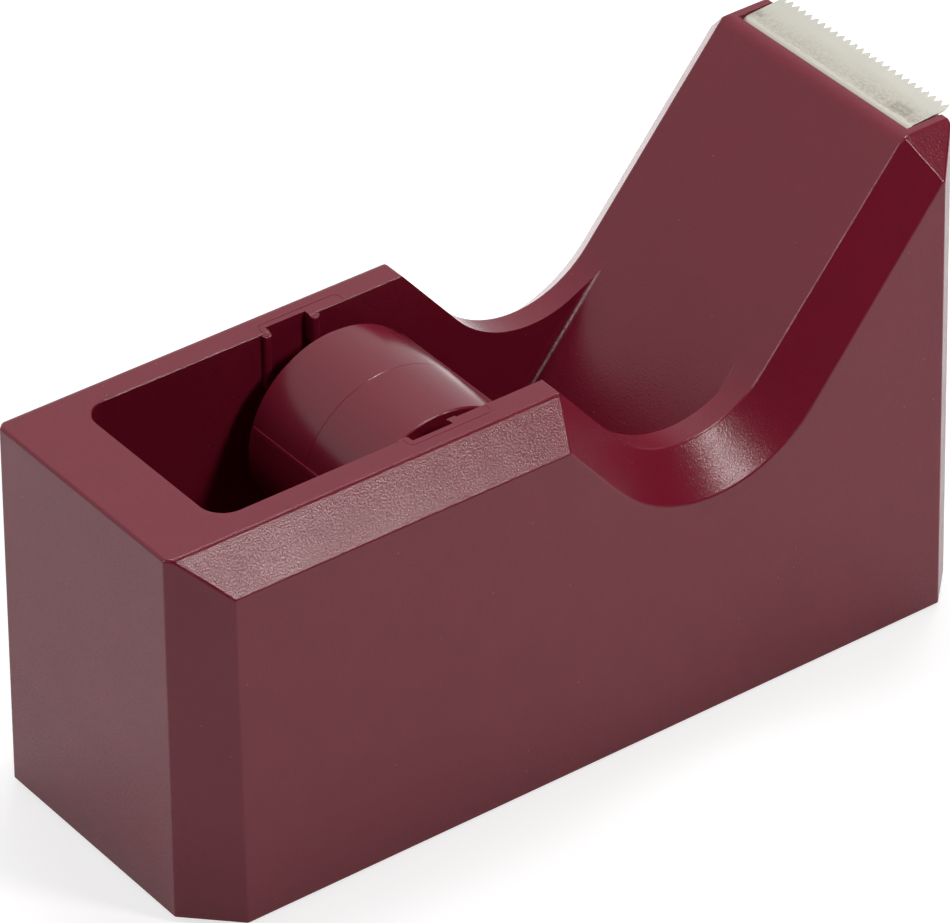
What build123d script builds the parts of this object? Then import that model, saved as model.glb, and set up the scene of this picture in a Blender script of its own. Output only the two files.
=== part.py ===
from build123d import *
import os
from math import atan2, cos, degrees, hypot, radians, sin, tan

# Weighted desk tape dispenser for tape on a 25.4 mm core, in millimetres.
# +X is the cutting end, +Z is up, and the origin is on the desk under the middle of the part.

# Housing: size at its bottom rim, heights above the rim, mould draft in degrees, skin
LENGTH = 114.0
WIDTH = 45.5
DECK_HEIGHT = 50.2
NOSE_HEIGHT = 65.4
DRAFT = 0.68
WALL = 2.2

# Side outline: rear deck, finger valley with straight flanks, short land that carries the blade
DECK_LENGTH = 55.6
LAND_LENGTH = 7.75
FLANK_ANGLE = 50.0
VALLEY_RADIUS = 14.3

# Cut corners and softened edges
SIDE_CHAMFER_WIDTH = 5.7
SIDE_CHAMFER_DEPTH = 5.3
REAR_CHAMFER = 6.05
FRONT_CHAMFER = 5.0
EDGE_ROUND = 0.45
DECK_ROUND = 1.0
LAND_ROUND = 2.2

# Tape bay
BAY_WIDTH = 27.2
BAY_SETBACK = 9.9
BAY_CORNER = 3.2
BAY_RAMP_ROUND = 1.0
BAY_RIM_BEVEL = 0.12

# Hub: two moulded cups on a steel axle, with three gripping ribs
HUB_SETBACK = 43.4
HUB_DROP = 13.7
HUB_RADIUS = 12.6
HUB_SIDE_GAP = 2.95
HUB_WALL = 1.6
HUB_EDGE_ROUND = 0.25
HUB_LEAD_IN = 0.25
HUB_BOSS_RADIUS = 3.6
HUB_BOSS_PLAY = 0.4
SEAM_CHAMFER = 0.04
SPIGOT_LENGTH = 4.0
SPIGOT_WALL = 1.2
SPIGOT_FIT = 0.05
GRIP_RIB_WIDTH = 0.5
GRIP_RIB_HEIGHT = 0.2
GRIP_RIB_INSET = 0.6
GRIP_RIB_COUNT = 3
FIRST_GRIP_RIB = 41.5

# Axle and the leaning slots that it drops into
AXLE_RADIUS = 1.75
AXLE_RUNNING_FIT = 0.05
AXLE_SEAT_FIT = 0.15
AXLE_END_PLAY = 0.2
AXLE_TIP_CHAMFER = 0.3
COLLAR_RADIUS = 3.2
COLLAR_WIDTH = 2.0
COLLAR_PLAY = 0.15
SLOT_WIDTH = 5.7
SLOT_BACKSET = 4.05
SLOT_DEPTH = 0.95
SLOT_UPRIGHT = 7.0
SLOT_CLEARANCE = 0.25
BEAD_WIDTH = 1.2
BEAD_HEIGHT = 0.6
BEAD_DROP = 0.15
BEAD_ROUND = 0.45
INSERT_LINE_WIDTH = 0.1
INSERT_LINE_DEPTH = 0.05
INSERT_LENGTH = 11.7
INSERT_MARGIN = 0.85

# Cutter blade: bent spring-steel strip that rises to its toothed edge
BLADE_THICKNESS = 0.25
BLADE_SINK = 0.35
BLADE_NEAR_GAP = 0.5
BLADE_FAR_GAP = 0.1
BLADE_BEND = 1.6
BLADE_FLANGE = 4.5
BLADE_FIT = 0.05
BLADE_RISE = 3.5
LAND_MARGIN = 1.5
CHEEK = 1.1
NOSE_LIP = 1.1
POCKET_SPARE = 0.6
GRIP_WIDTH = 3.0
TOOTH_PITCH = 1.22
TOOTH_DEPTH = 0.93
TOOTH_REACH = 0.9
TOOTH_CORNER = 0.75
KICK_LENGTH = 1.5
KICK_ANGLE = 8.0
PRESS_MARK_LENGTH = 2.0
PRESS_MARK_WIDTH = 1.2
PRESS_MARK_DEPTH = 0.08
NEAR_MARK_INSET = 2.4
FAR_MARK_INSET = 1.3

# Base: recessed cover, foam pad that stands below the rim, countersunk screws
PAD_STANDOFF = 0.8
PAD_MARGIN = 1.0
COVER_RECESS = 1.0
COVER_THICKNESS = 2.0
COVER_GAP = 0.25
SCREW_RADIUS = 1.3
SCREW_FIT = 0.05
SCREW_LENGTH = 9.0
SCREW_HEAD_RADIUS = 2.5
SCREW_HOLE_GAP = 0.2
DRIVE_WIDTH = 0.6
DRIVE_LENGTH = 2.8
DRIVE_DEPTH = 0.8
BOSS_RADIUS = 3.2
BOSS_HEIGHT = 14.0
PILOT_SPARE = 1.5
REAR_SCREW_Y = 12.0
FRONT_SCREW_Y = 14.0

# Ballast: cast wedge under the ramp, steel plate under the bay, foam that keeps the wedge quiet
WEDGE_HEIGHT = 27.0
WEDGE_WIDTH = 30.0
WEDGE_TOE = 4.0
WEDGE_ROUND = 1.5
PLATE_THICKNESS = 2.6
PLATE_GAP = 0.4
FOAM_THICKNESS = 2.0
FOAM_WIDTH = 20.0
FOAM_MARGIN = 3.0
BALLAST_GAP = 0.3
KEEPER_WALL = 1.2
KEEPER_HEIGHT = 1.6
KEEPER_EDGE_GAP = 0.8
KEEPER_SPACING = 6.3

# Places that follow from the sizes above
REAR_X = -(LENGTH + TOOTH_REACH) / 2
FRONT_X = REAR_X + LENGTH
RIM_Z = PAD_STANDOFF
DECK_Z = RIM_Z + DECK_HEIGHT
LAND_Z = RIM_Z + NOSE_HEIGHT
COVER_Z = RIM_Z + COVER_RECESS
COVER_TOP_Z = COVER_Z + COVER_THICKNESS
BAY_FLOOR_Z = COVER_TOP_Z + PLATE_THICKNESS + PLATE_GAP + WALL
DECK_END_X = REAR_X + DECK_LENGTH
LAND_X = FRONT_X - LAND_LENGTH
FLANK = radians(FLANK_ANGLE)
VALLEY_X = (DECK_END_X + LAND_X) / 2 - (NOSE_HEIGHT - DECK_HEIGHT) / (2 * tan(FLANK))
VALLEY_Z = DECK_Z - tan(FLANK) * (VALLEY_X - DECK_END_X)
ARC_CENTRE_Z = VALLEY_Z + VALLEY_RADIUS / cos(FLANK)
HUB_X = REAR_X + HUB_SETBACK
HUB_Z = DECK_Z - HUB_DROP
SLOT_REAR_X = HUB_X - SLOT_BACKSET - SLOT_WIDTH / 2
SLOT_FRONT_X = SLOT_REAR_X + SLOT_WIDTH
LIFT_X = SLOT_REAR_X + AXLE_RADIUS + SLOT_CLEARANCE
LIFT_Z = DECK_Z + AXLE_RADIUS
POCKET_HALF = WIDTH / 2 - SIDE_CHAMFER_WIDTH - CHEEK
BLADE_HALF = POCKET_HALF - (BLADE_NEAR_GAP + BLADE_FAR_GAP) / 2
BLADE_Y = (BLADE_NEAR_GAP - BLADE_FAR_GAP) / 2
BLADE_X = LAND_X + LAND_MARGIN
BLADE_Z = LAND_Z - BLADE_SINK
TIP_X = FRONT_X + TOOTH_REACH
POCKET_FRONT_X = FRONT_X - NOSE_HEIGHT * tan(radians(DRAFT)) - NOSE_LIP
POCKET_Z = BLADE_Z - BLADE_FLANGE - POCKET_SPARE
REAR_SCREW_X = REAR_X + BAY_SETBACK / 2
FRONT_SCREW_X = FRONT_X - WALL - BOSS_RADIUS
SCREW_POINTS = [
    (REAR_SCREW_X, -REAR_SCREW_Y),
    (REAR_SCREW_X, REAR_SCREW_Y),
    (FRONT_SCREW_X, -FRONT_SCREW_Y),
    (FRONT_SCREW_X, FRONT_SCREW_Y),
]
KEEPER_REACH = KEEPER_WALL + BALLAST_GAP
WEDGE_FRONT_X = FRONT_SCREW_X - BOSS_RADIUS - BALLAST_GAP - KEEPER_REACH
WEDGE_TOP_Z = COVER_TOP_Z + WEDGE_HEIGHT
WEDGE_TOE_Z = COVER_TOP_Z + WEDGE_TOE
WEDGE_DEPTH = WALL + FOAM_THICKNESS
WEDGE_TOE_X = LAND_X - (LAND_Z - WEDGE_TOE_Z) / tan(FLANK) + WEDGE_DEPTH / sin(FLANK)
PLATE_REAR_X = REAR_X + BAY_SETBACK + KEEPER_REACH
PLATE_FRONT_X = WEDGE_TOE_X - KEEPER_SPACING - 2 * KEEPER_REACH
PLATE_WIDTH = WIDTH - 2 * (WALL + COVER_GAP + KEEPER_EDGE_GAP + KEEPER_REACH)


def side_profile(points):
    """Flat face on the X-Z plane through the given (x, z) points."""
    return Plane.XZ * make_face(Polyline(*points, close=True))


def across(face, half_width):
    """Prism of an X-Z face, the same distance to both sides of the middle."""
    return extrude(face, amount=half_width, both=True)


def both_sides(solid):
    """A solid and its mirror image across the middle plane."""
    return solid + mirror(solid, about=Plane.XZ)


def block(low, high):
    """Box between two opposite corners."""
    size = [b - a for a, b in zip(low, high)]
    return Pos(*low) * Box(*size, align=(Align.MIN, Align.MIN, Align.MIN))


def under_ramp(z, depth):
    """Point square below the ramp's surface, under the place where the ramp is at height z."""
    x = LAND_X - (LAND_Z - z) / tan(FLANK)
    return (x + depth * sin(FLANK), z - depth * cos(FLANK))


def ramp_x(z, depth):
    """X where a plane that lies this deep under the ramp passes height z."""
    return LAND_X - (LAND_Z - z) / tan(FLANK) + depth / sin(FLANK)


def side_outline(inset):
    """Side view of the housing, drawn in by the inset and run well past both ends and the rim."""
    beyond = LENGTH / 2
    corners = [
        (REAR_X - beyond, -beyond),
        (REAR_X - beyond, DECK_Z),
        (DECK_END_X, DECK_Z),
        (VALLEY_X, VALLEY_Z),
        (LAND_X, LAND_Z),
        (FRONT_X + beyond, LAND_Z),
        (FRONT_X + beyond, -beyond),
    ]
    outline = make_face(Polyline(*corners, close=True))
    valley = outline.vertices().sort_by_distance(Vector(VALLEY_X, VALLEY_Z, 0))[0]
    outline = fillet(valley, VALLEY_RADIUS)
    return offset(outline, -inset, kind=Kind.INTERSECTION) if inset else outline


def plan_outline(inset):
    """Top view of the housing at its rim, a rectangle with cut corners, drawn in by the inset."""
    half = WIDTH / 2
    corners = [
        (REAR_X + REAR_CHAMFER, -half),
        (FRONT_X - FRONT_CHAMFER, -half),
        (FRONT_X, -half + FRONT_CHAMFER),
        (FRONT_X, half - FRONT_CHAMFER),
        (FRONT_X - FRONT_CHAMFER, half),
        (REAR_X + REAR_CHAMFER, half),
        (REAR_X, half - REAR_CHAMFER),
        (REAR_X, -half + REAR_CHAMFER),
    ]
    outline = make_face(Polyline(*corners, close=True))
    return offset(outline, -inset, kind=Kind.INTERSECTION) if inset else outline


def housing_form(inset):
    """Solid form of the housing: the side view with chamfered edges, inside the drafted plan."""
    slope = hypot(1 / SIDE_CHAMFER_WIDTH, 1 / SIDE_CHAMFER_DEPTH)
    start = SIDE_CHAMFER_WIDTH * (1 + inset * slope - inset / SIDE_CHAMFER_DEPTH)
    depth = SIDE_CHAMFER_DEPTH * (1 + inset * slope - inset / SIDE_CHAMFER_WIDTH) - inset
    run = start - inset
    outline = side_outline(inset)
    middle = across(Plane.XZ * outline, WIDTH / 2 - start)
    side_plane = Plane.XZ.offset(WIDTH / 2 - start)
    side = extrude(side_plane * outline, amount=run, taper=degrees(atan2(depth, run)))
    plan = Pos(0, 0, RIM_Z) * plan_outline(inset)
    drafted = extrude(plan, amount=2 * NOSE_HEIGHT, taper=DRAFT)
    return (middle + both_sides(side)) & drafted


def sharp_edges(solid):
    """Edges above the rim where two faces meet at a visible angle."""
    smooth_angle = 5
    sharp = []
    for edge in solid.edges():
        place = edge.position_at(0.5)
        faces = [f for f in solid.faces() if any(edge.is_same(e) for e in f.edges())]
        turn = faces[0].normal_at(place).get_angle(faces[-1].normal_at(place))
        if turn > smooth_angle and edge.center().Z > RIM_Z + EDGE_ROUND:
            sharp.append(edge)
    return sharp


def rounded_form():
    """Outside of the housing, with a soft crest where the ramp meets the land and soft deck sides."""
    form = housing_form(0)
    crest = form.edges().filter_by(Axis.Y).sort_by_distance(Vector(LAND_X, 0, LAND_Z))[0]
    form = fillet(crest, LAND_ROUND)
    deck_middle = Vector(REAR_X + DECK_LENGTH / 2, 0, DECK_Z)
    deck_sides = form.edges().filter_by(Axis.X).sort_by_distance(deck_middle)[:2]
    form = fillet(deck_sides, DECK_ROUND)
    return fillet(sharp_edges(form), EDGE_ROUND)


def bay_space(skin):
    """Space of the tape bay, grown by the skin around it. Its front is the ramp, carried on down."""
    above = DECK_Z + WALL
    valley_end_x = VALLEY_X + (VALLEY_RADIUS + skin) * sin(FLANK)
    valley_end_z = ARC_CENTRE_Z - (VALLEY_RADIUS + skin) * cos(FLANK)
    floor_z = BAY_FLOOR_Z - skin
    rear_x = REAR_X + BAY_SETBACK - skin
    outline = [
        (rear_x, above),
        (rear_x, floor_z),
        (ramp_x(floor_z, skin), floor_z),
        (valley_end_x, valley_end_z),
        (valley_end_x, above),
    ]
    space = across(side_profile(outline), BAY_WIDTH / 2 + skin)
    upright = space.edges().filter_by(Axis.Z).group_by(Axis.X)[0]
    space = fillet(upright, BAY_CORNER + skin)
    ramp_line = Vector(cos(FLANK), 0, sin(FLANK))
    ramp_edges = [e for e in space.edges() if e.geom_type == GeomType.LINE]
    ramp_edges = [e for e in ramp_edges if abs(e.tangent_at(0).dot(ramp_line)) > cos(radians(1))]
    return fillet(ramp_edges, BAY_RAMP_ROUND + skin)


def bay_mouth():
    """Bevelled mouth of the tape bay in the deck. Its front end lies in the open valley."""
    rear_x = REAR_X + BAY_SETBACK
    length = VALLEY_X - rear_x
    plan = RectangleRounded(length, BAY_WIDTH, BAY_CORNER)
    plan = Pos(rear_x + length / 2, 0, DECK_Z - BAY_RIM_BEVEL) * plan
    return extrude(plan, amount=2 * BAY_RIM_BEVEL, taper=-45)


def screw_boss(x, y, wall_x):
    """Hollow boss for a base screw, tied by a web to the wall at wall_x."""
    top_z = COVER_TOP_Z + BOSS_HEIGHT
    post = Pos(x, y, COVER_TOP_Z) * extrude(Circle(BOSS_RADIUS), amount=BOSS_HEIGHT)
    low_x, high_x = sorted((x, wall_x))
    web = block((low_x, y - WALL / 2, COVER_TOP_Z), (high_x, y + WALL / 2, top_z))
    return post + web


def screw_bosses():
    """Four bosses: the rear pair between the rear wall and the bay, the front pair at the front wall."""
    rear_wall_x = REAR_X + WALL / 2
    bay_wall_x = REAR_X + BAY_SETBACK - WALL / 2
    front_wall_x = FRONT_X - WALL / 2
    rear = screw_boss(REAR_SCREW_X, REAR_SCREW_Y, rear_wall_x)
    rear += screw_boss(REAR_SCREW_X, REAR_SCREW_Y, bay_wall_x)
    front = screw_boss(FRONT_SCREW_X, FRONT_SCREW_Y, front_wall_x)
    within = housing_form(WALL / 2)
    return both_sides(rear + front) & within


def pilot_holes():
    """Holes that the base screws cut their threads in."""
    depth = SCREW_LENGTH - COVER_THICKNESS + PILOT_SPARE
    hole = extrude(Circle(SCREW_RADIUS + SCREW_FIT), amount=depth)
    return [Pos(x, y, COVER_TOP_Z) * hole for x, y in SCREW_POINTS]


def slot_outline():
    """Axle slot on the X-Z plane: an upright mouth that leans forward to the seat below.

    Its front flank follows the axle, which lifts in a straight line from the seat to the mouth.
    """
    lean = (HUB_X - LIFT_X) / (LIFT_Z - HUB_Z)
    seat_radius = AXLE_RADIUS + AXLE_SEAT_FIT
    flank_x = HUB_X + seat_radius * hypot(1, lean)
    front_z = HUB_Z + (flank_x - SLOT_FRONT_X) / lean
    rear_z = DECK_Z - SLOT_UPRIGHT
    seat = Pos(HUB_X, HUB_Z) * CenterArc((0, 0), seat_radius, 0, 360)
    sill = Line((SLOT_REAR_X, rear_z), (SLOT_FRONT_X, front_z))
    mouth_corners = [
        (SLOT_REAR_X, rear_z),
        (SLOT_FRONT_X, front_z),
        (SLOT_FRONT_X, DECK_Z + WALL),
        (SLOT_REAR_X, DECK_Z + WALL),
    ]
    return make_hull([seat.edge(), sill]) + make_face(Polyline(*mouth_corners, close=True))


def slot_bead():
    """Raised bead around one slot on the bay's near wall, with its top just under the deck."""
    ring = offset(slot_outline(), BEAD_WIDTH) - slot_outline()
    wall_plane = Plane.XZ.offset(BAY_WIDTH / 2 - BEAD_HEIGHT)
    bead = extrude(wall_plane * ring, amount=BEAD_HEIGHT + SLOT_DEPTH / 2)
    below = block((REAR_X, -WIDTH / 2, 0), (FRONT_X, 0, DECK_Z - BEAD_DROP))
    bead = bead & below
    front_face = bead.faces().sort_by(Axis.Y)[-1]
    return fillet(front_face.edges(), BEAD_ROUND)


def axle_slot():
    """Cut of one axle slot into the bay's near wall."""
    wall_plane = Plane.XZ.offset(BAY_WIDTH / 2 - BEAD_HEIGHT)
    return extrude(wall_plane * slot_outline(), amount=BEAD_HEIGHT + SLOT_DEPTH)


def insert_line():
    """Fine witness line that the mould's slot insert leaves on the deck beside one slot."""
    front_x = SLOT_REAR_X - INSERT_MARGIN + INSERT_LENGTH
    centre_x = front_x - INSERT_LENGTH / 2
    reach = SLOT_DEPTH + INSERT_MARGIN
    outer = RectangleRounded(INSERT_LENGTH, 2 * reach, INSERT_MARGIN)
    inner = offset(outer, -INSERT_LINE_WIDTH)
    line = Pos(centre_x, -BAY_WIDTH / 2, DECK_Z - INSERT_LINE_DEPTH) * (outer - inner)
    return extrude(line, amount=INSERT_LINE_DEPTH + WALL)


def blade_pocket():
    """Pocket in the nose that takes the blade's flange, open to the front above a thin lip."""
    above = LAND_Z + WALL
    rear_x = BLADE_X - BLADE_FIT
    lip_z = BLADE_Z - BLADE_THICKNESS
    pocket = block((rear_x, -POCKET_HALF, POCKET_Z), (POCKET_FRONT_X, POCKET_HALF, above))
    over_lip = block((rear_x, -POCKET_HALF, lip_z), (TIP_X, POCKET_HALF, above))
    return pocket + over_lip


def blade_top_z(x):
    """Height of the blade's top, which rises from the bend to the kick."""
    return BLADE_Z + (x - BLADE_X) * tan(radians(BLADE_RISE))


def blade_under_z(x):
    """Height of the underside of the blade's top."""
    return blade_top_z(x) - BLADE_THICKNESS / cos(radians(BLADE_RISE))


def blade_grips():
    """Two ribs in the pocket that pinch the blade's flange and carry its top."""
    low_x = BLADE_X + BLADE_THICKNESS + BLADE_FIT
    relief_x = BLADE_X + BLADE_BEND
    relief_z = BLADE_Z - BLADE_BEND
    outline = [
        (low_x, POCKET_Z),
        (POCKET_FRONT_X, POCKET_Z),
        (POCKET_FRONT_X, blade_under_z(POCKET_FRONT_X)),
        (relief_x, blade_under_z(relief_x)),
        (relief_x, relief_z),
        (low_x, relief_z),
    ]
    grip = across(side_profile(outline), GRIP_WIDTH / 2)
    return both_sides(Pos(0, POCKET_HALF / 2, 0) * grip)


def make_housing():
    """One moulding: double-skinned shell, tape bay, axle slots, blade pocket and screw bosses."""
    shell = rounded_form() - bay_space(0) - bay_mouth()
    nose_core = block((VALLEY_X, -WIDTH, POCKET_Z - WALL), (TIP_X, WIDTH, LAND_Z))
    shell -= housing_form(WALL) - bay_space(WALL) - nose_core
    shell += screw_bosses()
    shell -= pilot_holes()
    shell += both_sides(slot_bead())
    shell -= both_sides(axle_slot())
    shell -= both_sides(insert_line())
    shell -= blade_pocket()
    return shell + blade_grips()


def blade_section():
    """Side view of the blade: flange, bend, rising top and the steeper edge that the teeth are cut in."""
    kick = radians(KICK_ANGLE)
    kick_x = TIP_X - KICK_LENGTH
    tip_z = blade_top_z(kick_x) + KICK_LENGTH * tan(kick)
    inner_x = BLADE_X + BLADE_THICKNESS
    under_z = blade_under_z(inner_x)
    corners = [
        (BLADE_X, BLADE_Z - BLADE_FLANGE),
        (BLADE_X, BLADE_Z),
        (kick_x, blade_top_z(kick_x)),
        (TIP_X, tip_z),
        (TIP_X, tip_z - BLADE_THICKNESS / cos(kick)),
        (kick_x, blade_under_z(kick_x)),
        (inner_x, under_z),
        (inner_x, BLADE_Z - BLADE_FLANGE),
    ]
    section = make_face(Polyline(*corners, close=True))
    inside_bend = section.vertices().sort_by_distance(Vector(inner_x, under_z, 0))[0]
    section = fillet(inside_bend, BLADE_BEND - BLADE_THICKNESS)
    outside_bend = section.vertices().sort_by_distance(Vector(BLADE_X, BLADE_Z, 0))[0]
    return Plane.XZ * fillet(outside_bend, BLADE_BEND)


def blade_plan():
    """Top view of the blade, with a row of saw teeth along its front edge."""
    tooth_count = int((2 * BLADE_HALF - TOOTH_CORNER) / TOOTH_PITCH) + 1
    first_tip = -(tooth_count - 1) * TOOTH_PITCH / 2
    corner_x = TIP_X - TOOTH_CORNER
    points = [(BLADE_X - BLADE_BEND, -BLADE_HALF), (corner_x, -BLADE_HALF)]
    for tooth in range(tooth_count):
        tip_y = first_tip + tooth * TOOTH_PITCH
        points.append((TIP_X, tip_y))
        if tooth < tooth_count - 1:
            points.append((TIP_X - TOOTH_DEPTH, tip_y + TOOTH_PITCH / 2))
    points += [(corner_x, BLADE_HALF), (BLADE_X - BLADE_BEND, BLADE_HALF)]
    return make_face(Polyline(*points, close=True))


def make_cutter_blade():
    """Blanked and bent blade with a shallow press mark near each end, pushed to the pocket's far end."""
    strip = across(blade_section(), BLADE_HALF)
    cutter = extrude(Pos(0, 0, POCKET_Z) * blade_plan(), amount=NOSE_HEIGHT)
    mark_x = (BLADE_X + TIP_X - KICK_LENGTH) / 2
    mark_z = blade_top_z(mark_x) - PRESS_MARK_DEPTH
    mark = RectangleRounded(PRESS_MARK_LENGTH, PRESS_MARK_WIDTH, PRESS_MARK_WIDTH / 3)
    mark = Rot(0, -BLADE_RISE, 0) * extrude(mark, amount=BLADE_THICKNESS)
    near_mark = Pos(mark_x, -BLADE_HALF + NEAR_MARK_INSET, mark_z) * mark
    far_mark = Pos(mark_x, BLADE_HALF - FAR_MARK_INSET, mark_z) * mark
    return Pos(0, BLADE_Y, 0) * ((strip & cutter) - near_mark - far_mark)


def turned(points):
    """Solid turned about the hub's axis from an outline of (radius, distance along the axis)."""
    return revolve(make_face(Polyline(*points, close=True)), Axis.Y)


def hub_cup(end_radius):
    """Half of the hub about its own axis: open at the seam, closed outside, with a bored boss."""
    end = BAY_WIDTH / 2 - HUB_SIDE_GAP
    boss_end = BAY_WIDTH / 2 - BEAD_HEIGHT - HUB_BOSS_PLAY
    bore = AXLE_RADIUS + AXLE_RUNNING_FIT
    inside = HUB_RADIUS - HUB_WALL
    boss_start = COLLAR_WIDTH / 2 + COLLAR_PLAY
    outline = [
        (HUB_RADIUS - SEAM_CHAMFER, 0),
        (HUB_RADIUS, SEAM_CHAMFER),
        (end_radius, end),
        (HUB_BOSS_RADIUS, end),
        (HUB_BOSS_RADIUS, boss_end),
        (bore, boss_end),
        (bore, boss_start),
        (HUB_BOSS_RADIUS, boss_start),
        (HUB_BOSS_RADIUS, end - HUB_WALL),
        (inside, end - HUB_WALL),
        (inside, 0),
    ]
    cup = turned(outline)
    rings = cup.edges().filter_by(GeomType.CIRCLE)
    cup = fillet(rings.sort_by_distance(Vector(end_radius, end, 0))[0], HUB_EDGE_ROUND)
    rib_low = (HUB_RADIUS - HUB_WALL / 2, SEAM_CHAMFER, -GRIP_RIB_WIDTH / 2)
    rib_high = (HUB_RADIUS + GRIP_RIB_HEIGHT, end - GRIP_RIB_INSET, GRIP_RIB_WIDTH / 2)
    rib = block(rib_low, rib_high)
    for turn in range(GRIP_RIB_COUNT):
        cup += Rot(0, -FIRST_GRIP_RIB - turn * 360 / GRIP_RIB_COUNT, 0) * rib
    return cup


def make_hub_far_cup():
    """Far half of the hub, with the spigot that plugs into the near half."""
    outside = HUB_RADIUS - HUB_WALL - SPIGOT_FIT
    spigot = turned([
        (outside - SPIGOT_WALL, -SPIGOT_LENGTH),
        (outside, -SPIGOT_LENGTH),
        (outside, SEAM_CHAMFER),
        (outside + HUB_WALL / 2, SEAM_CHAMFER),
        (outside + HUB_WALL / 2, SPIGOT_LENGTH),
        (outside - SPIGOT_WALL, SPIGOT_LENGTH),
    ])
    return Pos(HUB_X, 0, HUB_Z) * (hub_cup(HUB_RADIUS) + spigot)


def make_hub_near_cup():
    """Near half of the hub, over the spigot. It narrows to its end, so that a core slides on."""
    return Pos(HUB_X, 0, HUB_Z) * mirror(hub_cup(HUB_RADIUS - HUB_LEAD_IN), about=Plane.XZ)


def make_hub_axle():
    """Turned steel axle. Its middle collar is caught between the two hub bosses."""
    half = BAY_WIDTH / 2 + SLOT_DEPTH - AXLE_END_PLAY
    axle = turned([
        (0, -half),
        (AXLE_RADIUS - AXLE_TIP_CHAMFER, -half),
        (AXLE_RADIUS, -half + AXLE_TIP_CHAMFER),
        (AXLE_RADIUS, -COLLAR_WIDTH / 2),
        (COLLAR_RADIUS, -COLLAR_WIDTH / 2),
        (COLLAR_RADIUS, COLLAR_WIDTH / 2),
        (AXLE_RADIUS, COLLAR_WIDTH / 2),
        (AXLE_RADIUS, half - AXLE_TIP_CHAMFER),
        (AXLE_RADIUS - AXLE_TIP_CHAMFER, half),
        (0, half),
    ])
    return Pos(HUB_X, 0, HUB_Z) * axle


def make_wedge_weight():
    """Cast-iron wedge that stands on the base cover under the ramp."""
    outline = [
        (WEDGE_TOE_X, COVER_TOP_Z),
        (WEDGE_FRONT_X, COVER_TOP_Z),
        (WEDGE_FRONT_X, WEDGE_TOP_Z),
        (ramp_x(WEDGE_TOP_Z, WEDGE_DEPTH), WEDGE_TOP_Z),
        (WEDGE_TOE_X, WEDGE_TOE_Z),
    ]
    wedge = across(side_profile(outline), WEDGE_WIDTH / 2)
    upright = wedge.edges().filter_by(Axis.Z)
    return fillet(upright, WEDGE_ROUND)


def make_weight_foam():
    """Foam strip squeezed between the wedge and the underside of the ramp."""
    drop = WEDGE_DEPTH * cos(FLANK)
    low_z = WEDGE_TOE_Z + drop + FOAM_MARGIN
    high_z = WEDGE_TOP_Z + drop - FOAM_MARGIN
    outline = [
        under_ramp(low_z, WALL),
        under_ramp(high_z, WALL),
        under_ramp(high_z, WEDGE_DEPTH),
        under_ramp(low_z, WEDGE_DEPTH),
    ]
    return across(side_profile(outline), FOAM_WIDTH / 2)


def make_floor_weight():
    """Steel plate between the base cover and the floor of the tape bay."""
    low = (PLATE_REAR_X, -PLATE_WIDTH / 2, COVER_TOP_Z)
    high = (PLATE_FRONT_X, PLATE_WIDTH / 2, COVER_TOP_Z + PLATE_THICKNESS)
    plate = block(low, high)
    return fillet(plate.edges().filter_by(Axis.Z), WEDGE_ROUND)


def keeper(low_x, high_x, width):
    """Low fence on the base cover around the foot of a weight."""
    centre_x = (low_x + high_x) / 2
    inner = Rectangle(high_x - low_x + 2 * BALLAST_GAP, width + 2 * BALLAST_GAP)
    fence = offset(inner, KEEPER_WALL, kind=Kind.INTERSECTION) - inner
    return extrude(Pos(centre_x, 0, COVER_TOP_Z) * fence, amount=KEEPER_HEIGHT)


def make_base_cover():
    """Recessed base cover with countersunk screw holes and fences for the two weights."""
    outline = plan_outline(WALL + COVER_GAP)
    cover = extrude(Pos(0, 0, COVER_Z) * outline, amount=COVER_THICKNESS)
    cover += keeper(WEDGE_TOE_X, WEDGE_FRONT_X, WEDGE_WIDTH)
    cover += keeper(PLATE_REAR_X, PLATE_FRONT_X, PLATE_WIDTH)
    hole_radius = SCREW_RADIUS + SCREW_HOLE_GAP
    hole = extrude(Circle(hole_radius), amount=COVER_THICKNESS)
    sink_radius = SCREW_HEAD_RADIUS + SCREW_HOLE_GAP
    sink_depth = sink_radius - hole_radius
    hole += Cone(sink_radius, hole_radius, sink_depth, align=(Align.CENTER, Align.CENTER, Align.MIN))
    return cover - [Pos(x, y, COVER_Z) * hole for x, y in SCREW_POINTS]


def base_screw():
    """Countersunk thread-forming screw, head down, with a cross recess."""
    head_depth = SCREW_HEAD_RADIUS - SCREW_RADIUS
    head = Cone(SCREW_HEAD_RADIUS, SCREW_RADIUS, head_depth, align=(Align.CENTER, Align.CENTER, Align.MIN))
    tip_length = SCREW_RADIUS
    shank = extrude(Circle(SCREW_RADIUS), amount=SCREW_LENGTH - tip_length)
    tip = Cone(SCREW_RADIUS, SCREW_RADIUS / 3, tip_length, align=(Align.CENTER, Align.CENTER, Align.MIN))
    screw = head + shank + Pos(0, 0, SCREW_LENGTH - tip_length) * tip
    arm = Box(DRIVE_LENGTH, DRIVE_WIDTH, 2 * DRIVE_DEPTH)
    return screw - arm - Rot(0, 0, 90) * arm


def make_base_screws():
    """The four base screws, seated in the cover."""
    screw = base_screw()
    return Compound(children=[Pos(x, y, COVER_Z) * screw for x, y in SCREW_POINTS])


def make_base_pad():
    """Non-slip foam pad under the cover. It carries the part on the desk."""
    outline = plan_outline(WALL + PAD_MARGIN)
    return extrude(outline, amount=COVER_Z)


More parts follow.
